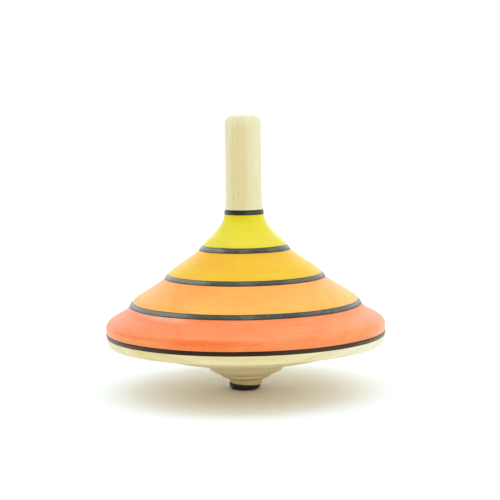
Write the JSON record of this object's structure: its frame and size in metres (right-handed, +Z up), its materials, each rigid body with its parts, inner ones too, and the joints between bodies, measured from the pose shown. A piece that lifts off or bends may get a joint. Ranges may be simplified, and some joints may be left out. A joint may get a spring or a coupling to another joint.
{
  "type": "spinning top",
  "caption": "Hand-spun wooden top: turned disc with a trumpet neck, dowel stem, hard black tip, four stained bands and black lacquer lines between them.",
  "frame": {"origin": "on the spin axis, at the flat foot of the tip, where it meets the table", "axes": "+Z up the spin axis, towards the stem; +X and +Y are level and alike, because every piece is turned"},
  "size_m": [0.06, 0.06, 0.0588],
  "materials": {
    "stem_wood": "pale bare hardwood, sanded, grain up the stem",
    "body_wood": "pale bare hardwood, turned, with fine tool rings",
    "tip_black": "black stained hardwood, satin",
    "yellow_stain": "lemon yellow stain with the grain showing, silky",
    "amber_stain": "golden yellow stain with the grain showing, silky",
    "orange_stain": "light orange stain with the grain showing, silky",
    "red_stain": "coral red stain with darker streaks, silky",
    "black_lacquer": "black lacquer in a turned groove, satin"
  },
  "bodies": {
    "root": {"stem": "stem_wood", "body": "body_wood", "tip": "tip_black", "yellow_band": "yellow_stain", "amber_band": "amber_stain", "orange_band": "orange_stain", "red_band": "red_stain", "neck_line": "black_lacquer", "upper_line": "black_lacquer", "middle_line": "black_lacquer", "lower_line": "black_lacquer", "rim_line": "black_lacquer"}
  },
  "joints": []
}
